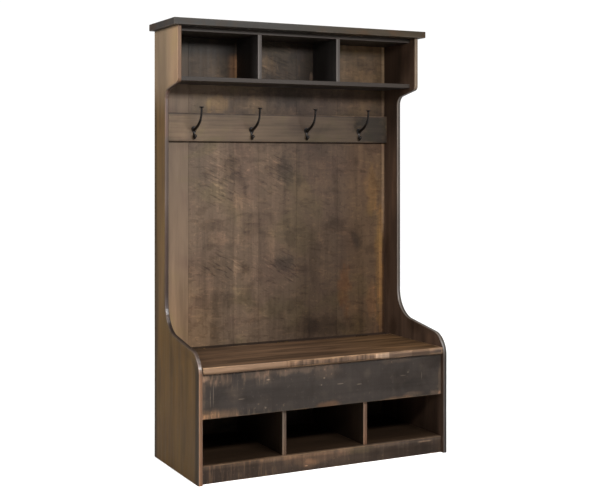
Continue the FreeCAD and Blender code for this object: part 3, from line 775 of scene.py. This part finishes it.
# Strength, share and spans of the tints on the back
BACK_TINTS = (
    (1.0, (0.46, 0.43, 0.42), ("X", -0.48, 0.3)),
    (1.0, (1.12, 1.04, 0.88), ("X", 0.32, 0.44)),
    (1.0, (1.4, 1.3, 1.14), LEFT_BOARDS, ("Z", 0.98, 0.52)),
    (1.0, (0.77, 0.79, 0.81), LEFT_BOARDS, ("Z", 0.98, 1.3), ("Z", 1.5, 1.46)),
    (1.0, (0.88, 0.86, 0.81), ("X", 0.06, 0.14), ("X", 0.5, 0.44), ("Z", 1.1, 0.98)),
    # Painted shadow on the back just under the rail
    (0.9, (0.42, 0.4, 0.38), ("Z", rail_bottom - 0.008, rail_bottom - 0.004),
     ("Z", rail_bottom + 0.004, rail_bottom)),
    # A pale line along the back's right margin, bluish higher up, and painted shade in the low corner by
    # the right end
    (0.9, PALE, LOW_MARGIN, ("X", 0.558, 0.564)),
    (0.9, (0.34, 0.3, 0.28), LOW_MARGIN, ("X", 0.576, 0.582)),
    (0.9, (2.5, 2.7, 3.0), HIGH_MARGIN, ("X", 0.573, 0.578)),
    (1.0, (0.8, 0.81, 0.82), ("Z", 1.545, 1.56)),
    # Painted light in the right cubby, then painted shade on the middle cubby's right part
    (1.0, (1.5, 1.56, 1.45), CUBBIES, ("X", 0.22, 0.3)),
    (0.9, (0.44, 0.42, 0.44), CUBBIES, ("X", 0.205, 0.195), ("X", 0.09, 0.11)),
    # Painted shade under the cubbies' ceiling with painted light around it, warm in the left cubby and by
    # its divider
    (1.0, (0.4, 0.4, 0.4), CUBBIES, LEFT_CUBBY, ("Z", 1.806, 1.846)),
    (0.9, (1.2, 1.2, 1.2), CUBBIES, LEFT_CUBBY, ("Z", 1.815, 1.8)),
    (0.9, (3.6, 2.8, 2.2), CUBBIES, LEFT_CUBBY, ("Z", 1.845, 1.815), ("X", -0.264, -0.232)),
    (0.9, (2.2, 2.2, 2.2), CUBBIES, LEFT_CUBBY, ("X", -0.224, -0.218)),
    (0.9, (2.4, 2.4, 2.4), CUBBIES, RIGHT_CUBBY, ("Z", 1.866, 1.88)),
    (0.8, (0.66, 0.66, 0.66), CUBBIES, RIGHT_CUBBY, ("Z", 1.82, 1.84), ("Z", 1.868, 1.856)),
    # Painted shade on the back inside the storage box and the lower cubbies
    (0.9, (0.3, 0.3, 0.3), ("Z", 0.454, 0.44)),
)

# For each back board, the strength of the painted shade in the upper cubbies and the share of the rear's
# stain
BACK_SHADES = ((0.88, 1.0), (0.88, 0.86), (0.9, 1.08), (0.76, 0.94), (0.36, 1.12), (0.0, 0.9))


def dress_back():
    """The back boards, darker to the right, with saw strokes and clouds across the joints and painted shade
    and light, and the rail.
    """
    for number, (painted_cubby_shade, rear_shade) in enumerate(BACK_SHADES, 1):
        node = "back_board_%d" % number
        body = (123, 102, 83) if number == 1 else (108, 89, 72)
        wood = board_wood(node, "z", shades(*body, 0.24), 10.0 + number, 1.2, 0.12, 0.25)
        wood.stain = 10.0
        wood.zones(0.8, OLIVE, MAUVE)
        if number > 1:
            wood.clouds(0.8, SHADE, 9.0)
            wood.clouds(0.5, PALE, 7.0, 0.54, 0.7)
            wood.clouds(0.7, SHADE, 1.0, 0.52, 0.66, (12, 12, 40))
            wood.clouds(0.6, PALE, 1.3, 0.54, 0.68, (12, 12, 40))
            wood.clouds(0.7, SHADE, 62.0, 0.54, 0.7)
            wood.clouds(0.7, PALE, 75.0, 0.58, 0.72)
            wood.saw(0.9, 0.62, sawn_zones(wood))
        for patch in BACK_PATCHES:
            wood.front_patch(*patch)
        wood.tints(BACK_TINTS)
        # Painted shade over the backs of the upper cubbies
        wood.tint(wood.along(*CUBBIES), painted_cubby_shade, (0.34, 0.33, 0.3))
        rear = wood.along("Y", wood.low.y + 0.003, wood.low.y + 0.005)
        rear_tones = [scaled(colour, rear_shade) for colour in shades(112, 90, 68, 0.3)]
        wood.lay(rear, 1.0, wood.grained(rear_tones))
        joint = wood.math("MULTIPLY_ADD", rear, 0.45, 0.15 if number == 1 else 0.03)
        wood.edges(0.0, burnished=joint, band=0.006)
        dress(node, wood.finish(0.52))
    wood = board_wood("hook_rail", "x", shades(105, 87, 69, 0.26), 17.0, 1.6, 0.1)
    wood.tint(wood.along("X", -0.5, 0.35), 0.9, (0.44, 0.44, 0.45))
    wood.zones(0.8, OLIVE, MAUVE, 7.0)
    wood.clouds(0.5, SHADE, 4.0)
    for patch in RAIL_PATCHES:
        wood.front_patch(*patch, (16, 1, 22))
    wood.lay(wood.along("Z", 1.5465, 1.5495), 0.9, DEEP)
    wood.edges(0.2, burnished=0.2, band=0.012)
    # Painted shade on the rail's lowest edge, part of the dark line under it
    wood.tint(wood.along("Z", rail_bottom + 0.0035, rail_bottom + 0.0015), 0.9, UMBER)
    dress("hook_rail", wood.finish())


# Short blocks along the seat's front edge: start, end and share
SEAT_BLOCKS = (
    (-0.055, -0.018, PALE), (-0.014, 0.018, SHADE), (0.15, 0.172, SHADE), (0.231, 0.306, (2.5, 2.7, 2.8)),
    (0.42, 0.52, SHADE),
)


def dress_seat():
    """Lid and rear strip, with grain along the bench, a rubbed front edge on the lid and painted shade at
    the rear.
    """
    # The rear strip's dark stain is partly painted shade, where the seat meets the back
    strip = board_wood("rear_seat_strip", "x", shades(46, 34, 27), 18.0, 1.6)
    dress("rear_seat_strip", strip.finish())
    wood = board_wood("seat_lid", "x", shades(87, 65, 47, 0.46), 19.0, 1.4, 0.1, 0.12)
    wood.tint(wood.along("X", 0.0, 0.5), 0.8, (0.96, 0.92, 0.7))
    wood.clouds(0.5, SHADE, 3.0)
    wood.clouds(0.7, UMBER, 1.0, 0.5, 0.64, (3, 22, 22))
    # Painted shade on the lid's rear, towards the back
    wood.tint(wood.along("Y", 0.09, 0.185), 0.6, (0.6, 0.56, 0.52))
    wood.front(shades(100, 81, 66, 0.25))
    top, bottom = wood.high.z, wood.low.z
    front = ("Y", wood.low.y + 0.004, wood.low.y)
    pale_top = ("Z", top - 0.013, top - 0.008)
    tan_run = wood.region(front, ("X", -0.14, -0.2))
    wood.lay(tan_run, 0.9, wood.grained(shades(154, 123, 97, 0.25)))
    sawn_run = wood.region(front, ("X", -0.24, -0.18), ("X", 0.3, 0.22))
    marks = wood.group(grain_group, Vector=wood.turned("z"))
    wood.tint(wood.times(sawn_run, wood.fade(marks["Band"], 0.46, 0.38)), 0.9, UMBER)
    wood.tint(wood.times(sawn_run, wood.fade(marks["Band"], 0.5, 0.6)), 1.0, PALE)
    wood.tint(sawn_run, 0.9, (0.95, 0.92, 0.9))
    for start, end, share in SEAT_BLOCKS:
        block = wood.region(front, ("X", start, start + 0.006), ("X", end, end - 0.006))
        wood.tint(block, 0.9, share)
    wood.tints((
        (0.9, (1.5, 1.46, 1.42), front, ("X", -0.2, -0.16), pale_top),
        (0.9, (0.7, 0.68, 0.68), front, ("X", 0.3, 0.34), ("Z", top - 0.009, top - 0.014)),
        (0.9, (1.35, 1.32, 1.28), front, ("X", 0.34, 0.42), pale_top),
    ))
    wood.patch((0.42, -0.19, top), (0.13, 0.05, 0.01), PALE, 0.9, 0.6, (6, 20, 1))
    wood.edges(0.7, BARE, burnished=0.15, reach=0.0026, ragged=1.8)
    wood.tints((
        (0.85, (0.5, 0.46, 0.42), front, ("Z", bottom + 0.012, bottom + 0.003), ("X", 0.36, 0.28)),
        (0.9, (0.56, 0.6, 0.7), front, ("X", 0.53, 0.56)),
    ))
    dress("seat_lid", wood.finish(0.46))


# Patches and scratches of the apron and the base rail, in the same order as on the back
APRON_PATCHES = (
    (-0.59, 0.36, 0.024, 0.13, TANNED, 0.8), (-0.53, 0.43, 0.1, 0.04, TANNED, 0.65),
    (-0.35, 0.44, 0.09, 0.03, TANNED, 0.7), (-0.13, 0.445, 0.24, 0.03, TANNED, 0.9),
    (0.0, 0.27, 0.08, 0.026, (3.2, 2.2, 1.5), 0.9), (0.36, 0.266, 0.1, 0.018, WARM, 0.9),
    (0.584, 0.34, 0.012, 0.11, TANNED, 0.7), (0.56, 0.276, 0.05, 0.016, TANNED, 0.8),
    (0.2, 0.395, 0.03, 0.03, PALE, 0.9), (-0.2, 0.33, 0.26, 0.06, SHADE, 0.5),
    (0.36, 0.36, 0.28, 0.08, SHADE, 0.8), (0.34, 0.44, 0.12, 0.018, TANNED, 0.4),
    (0.0, 0.415, 0.1, 0.04, TANNED, 0.4), (-0.44, 0.36, 0.05, 0.05, TANNED, 0.2),
    (0.44, 0.282, 0.07, 0.016, TANNED, 0.8), (-0.3, 0.41, 0.05, 0.04, PALE, 0.8),
    (-0.577, 0.438, 0.028, 0.02, (3.6, 3.2, 2.8), 0.9), (-0.577, 0.275, 0.028, 0.022, TANNED, 0.7),
    (0.54, 0.42, 0.09, 0.05, SHADE, 1.0), (0.583, 0.272, 0.014, 0.014, TANNED, 0.9),
)
APRON_SMOOTH_PATCH = (-0.545, 0.262, 0.17, 0.058, (3.8, 2.9, 2.0), 0.95)
APRON_SCRATCHES = (
    (0.064, 0.36, 0.022, 0.0036), (0.16, 0.35, 0.018, 0.0032), (0.385, 0.369, 0.02, 0.003),
    (0.412, 0.382, 0.008, 0.004), (0.485, 0.36, 0.002, 0.024), (-0.409, 0.337, 0.02, 0.0036),
    (-0.298, 0.29, 0.006, 0.006), (-0.536, 0.365, 0.003, 0.06), (-0.55, 0.35, 0.002, 0.05),
    (-0.286, 0.408, 0.012, 0.0044), (-0.03, 0.363, 0.006, 0.005), (-0.016, 0.392, 0.006, 0.005),
)
BASE_PATCHES = (
    (-0.24, 0.07, 0.11, 0.018, PALE, 0.8), (-0.06, 0.052, 0.18, 0.032, TANNED, 0.5),
    (0.14, 0.06, 0.14, 0.024, PALE, 0.8), (0.3, 0.068, 0.12, 0.012, PALE, 0.7),
    (0.42, 0.03, 0.26, 0.036, UMBER, 0.9), (-0.1, 0.03, 0.06, 0.03, TANNED, 0.6),
    (-0.42, 0.045, 0.22, 0.05, SHADE, 0.8),
)
BASE_SMOOTH_PATCH = (0.16, 0.058, 0.09, 0.026, OLIVE, 0.9)
BASE_SCRATCHES = ((-0.103, 0.021, 0.01, 0.004), (0.5, 0.06, 0.05, 0.005))


def dress_base():
    """Apron, base rail, lower dividers, floors and the hidden frame."""
    worn_rails = (
        ("apron_board", (57, 50, 45), 20.0, 0.1, 0.0, APRON_PATCHES, APRON_SCRATCHES,
         APRON_SMOOTH_PATCH),
        ("base_rail", (66, 53, 43), 21.0, 0.4, 1.0, BASE_PATCHES, BASE_SCRATCHES,
         BASE_SMOOTH_PATCH),
    )
    for node, body, seed, sawn, worn_top, patches, scratches, smooth_patch in worn_rails:
        wood = board_wood(node, "x", shades(*body, 0.2), seed, 1.0, 0.1)
        wood.kerfs(sawn, "z", scaled(wood.tones[1], 0.55), scaled(wood.tones[1], 1.6))
        wood.clouds(0.6, PALE, 9.0, 0.5, 0.66)
        wood.clouds(0.6, SHADE, 5.0, 0.5, 0.36)
        for patch in patches:
            wood.front_patch(*patch, (22, 1, 14), 0.7)
        for scratch in scratches:
            wood.front_patch(*scratch, SCRAPED, 0.6, (60, 1, 60), 0.3)
        wood.clouds(0.7, TANNED, 60.0, 0.6, 0.74)
        wood.front_patch(*smooth_patch, (22, 1, 10), 0.4)
        top_strip = ("Z", wood.high.z - 0.022, wood.high.z - 0.006)
        wood.tints((
            (worn_top, (2.3, 2.2, 2.0), top_strip, ("X", 0.18, -0.06)),
            (worn_top, (1.6, 1.65, 1.7), top_strip, ("X", -0.06, 0.18)),
        ))
        streaks = wood.fade(wood.cloud(1.0, 4.0, (64, 64, 8)), 0.5, 0.64)
        worn_ends = wood.math("MAXIMUM", wood.along("Z", 0.36, 0.43), wood.along("Z", 0.31, 0.27))
        wood.tint(wood.times(streaks, worn_ends, wood.along("X", -0.1, -0.4)), 0.7, TANNED)
        wood.edges(0.5, TAN, burnished=0.25)
        dress(node, wood.finish())
    for number, node in enumerate(("lower_divider_left", "lower_divider_right")):
        wood = board_wood(node, "z", shades(52, 40, 30), 6.0 + number)
        wood.front(shades(*((112, 97, 84), (120, 96, 79))[number], 0.25))
        front = wood.at_front()
        wood.tint(wood.times(front, wood.along("Z", 0.2, 0.1)), 0.9, (1.24, 1.1, 0.98))
        # Painted shade on the front edge away from its lit left arris
        wood.paint_shade_past_arris(front, (0.6, 0.55, 0.52))
        dress(node, wood.finish())
    for number, node in enumerate(("storage_floor", "cubby_floor")):
        wood = board_wood(node, "x", shades(48, 35, 24), 8.0 + number, 1.4)
        dress(node, wood.finish())
    for number, node in enumerate(("rear_seat_ledger", "rear_base_rail", "lid_rest_cleat_left",
                                   "lid_rest_cleat_right", "lid_batten_left", "lid_batten_right")):
        grain = "y" if "cleat" in node or "batten" in node else "x"
        wood = board_wood(node, grain, shades(100, 80, 60, 0.3), 22.0 + number)
        wood.edges(0.4)
        dress(node, wood.finish())


def dress_fittings():
    """Hinges, fasteners and bumpers."""
    brass = metal_material("hinge_brass", tone(44, 33, 22), tone(86, 66, 40), 0.9, 0.45, 60.0)
    steel = metal_material("screw_steel", tone(88, 86, 82), tone(150, 147, 140), 1.0, 0.4, 90.0)
    for number in range(1, 4):
        for part in ("hinge_case_leaf_%d", "hinge_lid_leaf_%d", "hinge_pin_%d"):
            dress(part % number, brass)
    for node in ("hinge_case_screws", "hinge_lid_screws"):
        dress(node, brass)
    for node in ("batten_screws", "cornice_screws", "back_nails"):
        dress(node, steel)
    dress("lid_bumpers", rubber_material())


# Marks on the outer and inner faces of the ends: y, z, half depth, half height, and a share inside
END_MARKS = (
    (-0.08, 0.4, 0.02, 0.09), (0.042, 0.46, 0.03, 0.11), (0.195, 0.36, 0.025, 0.15),
    (-0.1, 0.16, 0.024, 0.12), (0.1, 0.8, 0.03, 0.18),
)
INNER_MARKS = (
    (-0.02, 0.56, 0.09, 0.07, UMBER), (-0.15, 0.5, 0.04, 0.06, PALE), (0.17, 0.52, 0.06, 0.08, UMBER),
    (0.06, 1.8, 0.08, 0.09, UMBER), (0.16, 1.2, 0.03, 0.25, PALE), (0.22, 0.9, 0.025, 0.3, UMBER),
)


def add_ends():
    """The two shaped ends: outer faces, inner faces and front edges each with their own stain; painted
    shade and highlights on the edges.
    """
    finishes = (("left", (98, 75, 46), (60, 48, 38), (104, 88, 80), (2.7, 1.95, 1.25),
                 (3.7, 3.2, 2.4), (0.6, 0.58, 0.55), 1.0, 30.0),
                ("right", (98, 75, 46), (72, 55, 44), (128, 118, 110), (0.3, 0.28, 0.28),
                 (1.05, 0.95, 0.8), (0.38, 0.36, 0.34), 0.4, 31.0))
    for name, outer, inner, front, low_front, high_front, shade_past_arris, painted_light_strength, seed in finishes:
        node = name + "_end_panel"
        side = -1 if name == "left" else 1
        wood = Wood(name + "_end_wood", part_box(node), "z", shades(*outer, 0.3), seed, 1.5, 0.15, 0.12)
        edge, facing = [wood.add("ShaderNodeAttribute", attribute_name=label).outputs["Fac"]
                        for label in ("edge_distance", "front_share")]
        outer_x = wood.low.x if side < 0 else wood.high.x
        top = wood.along("Z", 1.5, 1.72)
        low = wood.along("Z", 0.8, 0.5)
        wood.lay(top, 0.6, wood.tones[1])
        wood.lay(low, 0.4, wood.tones[1])
        wood.zones(0.5, OLIVE, MAUVE, 5.0)
        wood.tint(low, 1.0, (0.85, 0.77, 0.46))
        for y, z, half_depth, half_height in END_MARKS:
            half_sizes = (0.05, half_depth, half_height)
            wood.patch((outer_x, y, z), half_sizes, SHADE, 0.7, 0.6, (14, 40, 6))
        wood.tint(top, 0.95, (1.6, 1.95, 3.2))
        wood.tint(wood.times(top, wood.along("Y", 0.14, -0.01)), 1.0, (1.66, 1.54, 1.44))
        rear = wood.along("Y", 0.224, 0.248)
        wood.tint(wood.times(rear, wood.along("Z", 1.7, 1.5)), 0.9, (0.42, 0.42, 0.42))
        rim = wood.times(wood.fade(edge, 0.05, 0.026), wood.along("Z", 0.56, 0.44))
        wood.tint(rim, 1.0, (0.34, 0.35, 0.37))
        wood.lay(wood.along("X", side * (inner_half + 0.003), side * (inner_half + 0.001)), 1.0,
                 wood.grained(shades(*inner, 0.3)))
        for y, z, half_depth, half_height, share in INNER_MARKS:
            half_sizes = (0.012, half_depth, half_height)
            wood.patch((side * inner_half, y, z), half_sizes, share, 0.8, 0.6, (14, 20, 8))
        shaped = wood.fade(facing, 0.4, 0.8)
        wood.lay(shaped, 1.0, wood.grained(shades(*front, 0.2)))
        high = wood.along("Z", 1.668, 1.686)
        plain = wood.along("Z", 1.686, 1.668)
        wood.tint(wood.times(shaped, high), 1.0, high_front)
        wood.tint(wood.times(shaped, wood.along("Z", 0.52, 0.42)), 1.0, low_front)
        post = wood.times(shaped, plain)
        # Painted shade on the front edge away from its lit left arris
        wood.paint_shade_past_arris(post, shade_past_arris)
        if name == "left":
            wood.tint(wood.times(post, wood.along("Z", 1.42, 1.46)), 0.9, (1.4, 1.16, 1.04))
            low_post = wood.times(post, wood.region(("Z", 1.18, 0.98), ("Z", 0.7, 0.76)))
            wood.tint(low_post, 0.9, (0.62, 0.52, 0.48))
        # Painted shade on the arm's sloping front edge
        slope = wood.times(shaped, wood.region(("Y", -0.22, -0.18), ("Y", 0.125, 0.09)))
        wood.tint(slope, painted_light_strength, (0.34, 0.32, 0.31))
        # Painted highlight, bluish, on the front edge at the arm's rear bend
        bend = wood.region(("Z", 0.655, 0.68), ("Z", 0.74, 0.715), ("Y", 0.07, 0.11))
        wood.tint(wood.times(shaped, bend), 0.3 + 0.7 * painted_light_strength, (1.2, 1.3, 1.5))
        # Painted highlight, bluish, on the arm's front nose
        nose = wood.region(("Z", 0.455, 0.475), ("Z", 0.515, 0.497), ("Y", -0.2, -0.235))
        wood.tint(wood.times(shaped, nose), 0.3 + 0.6 * painted_light_strength, (1.45, 1.7, 2.0))
        burnished = wood.times(plain, 0.3)
        wood.edges(0.35, tone(132, 116, 102), 0.002, 0.5, burnished, 0.012, edge)
        polish = wood.times(wood.fade(edge, 0.008, 0.003), plain,
                            wood.math("SUBTRACT", 0.7, wood.times(slope, 0.6)))
        new_piece(name + "_shaped_end", lambda bm: build_end_panel(bm, side), "case", "case_wood",
                  wood.finish(0.45, 0.12, polish), node)


def add_floor():
    """A pale studio floor under the bench."""
    bm = bmesh.new()
    bmesh.ops.create_grid(bm, x_segments=8, y_segments=8, size=40.0)
    bmesh.ops.translate(bm, verts=bm.verts, vec=(0, 0, -0.0004))
    floor = shown("studio_floor", mesh_of("studio_floor", bm))
    material, graph, shader = new_material("studio_floor")
    seen = graph.add("ShaderNodeLightPath").outputs["Is Camera Ray"]
    colour = graph.mix(seen, (0.3, 0.3, 0.3, 1.0), (0.92, 0.92, 0.92, 1.0))
    graph.wire(shader, {"Base Color": colour, "Roughness": 0.9, "Specular IOR Level": 0.1})
    floor.data.materials.append(material)
    return floor


def add_softbox(name, place, target, size, power):
    """A soft light of a width and height at a place, turned to a target."""
    light = bpy.data.lights.new(name, "AREA")
    light.shape = "RECTANGLE"
    light.size, light.size_y = size
    light.energy = power
    softbox = shown(name, light)
    softbox.location = place
    softbox.rotation_euler = (Vector(target) - Vector(place)).to_track_quat("-Z", "Y").to_euler()


def add_light(floor):
    """A white room, softboxes before, beside and above the bench, and a sun for the floor alone."""
    scene = bpy.context.scene
    world = bpy.data.worlds.new("white_room")
    scene.world = world
    world.use_nodes = True
    graph = Graph(world.node_tree)
    seen = graph.add("ShaderNodeLightPath").outputs["Is Camera Ray"]
    strength = graph.math("MULTIPLY_ADD", seen, 0.91, 0.15)
    graph.wire(world.node_tree.nodes["Background"], {"Color": (1.0, 1.0, 1.0, 1.0), "Strength": strength})
    add_softbox("front_softbox", (0.3, -3.2, 2.45), (0.0, 0.2, 1.0), (2.4, 0.45), 122.0)
    add_softbox("side_softbox", (-3.2, -0.3, 2.6), (-0.6, 0.0, 1.5), (1.2, 1.2), 80.0)
    add_softbox("top_softbox", (0.0, -1.4, 3.6), (0.0, 0.0, 0.5), (1.6, 0.8), 25.0)
    overhead = bpy.data.lights.new("floor_light", "SUN")
    overhead.energy = 3.2
    overhead.angle = math.radians(80)
    lamp = shown("floor_light", overhead)
    lit = bpy.data.collections.new("floor_only")
    lit.objects.link(floor)
    lamp.light_linking.receiver_collection = lit
    scene.view_settings.view_transform = "Standard"


def add_camera():
    """The camera, level, at the photograph's place."""
    lens = bpy.data.cameras.new("photo_camera")
    lens.lens = camera_lens
    lens.sensor_width = camera_sensor
    lens.sensor_fit = "HORIZONTAL"
    lens.shift_y = camera_shift
    camera = shown("photo_camera", lens)
    camera.location = camera_place
    camera.rotation_euler = Euler((math.radians(90), 0, math.radians(camera_turn)))
    bpy.context.scene.camera = camera


dress_top()
dress_back()
dress_seat()
dress_base()
dress_fittings()
add_ends()
hook_iron = metal_material("hook_iron", tone(18, 14, 12), tone(44, 35, 28), 0.4, 0.36, 70.0)
dress("hook_screws", hook_iron)
add_hooks(hook_iron)
add_light(add_floor())
add_camera()
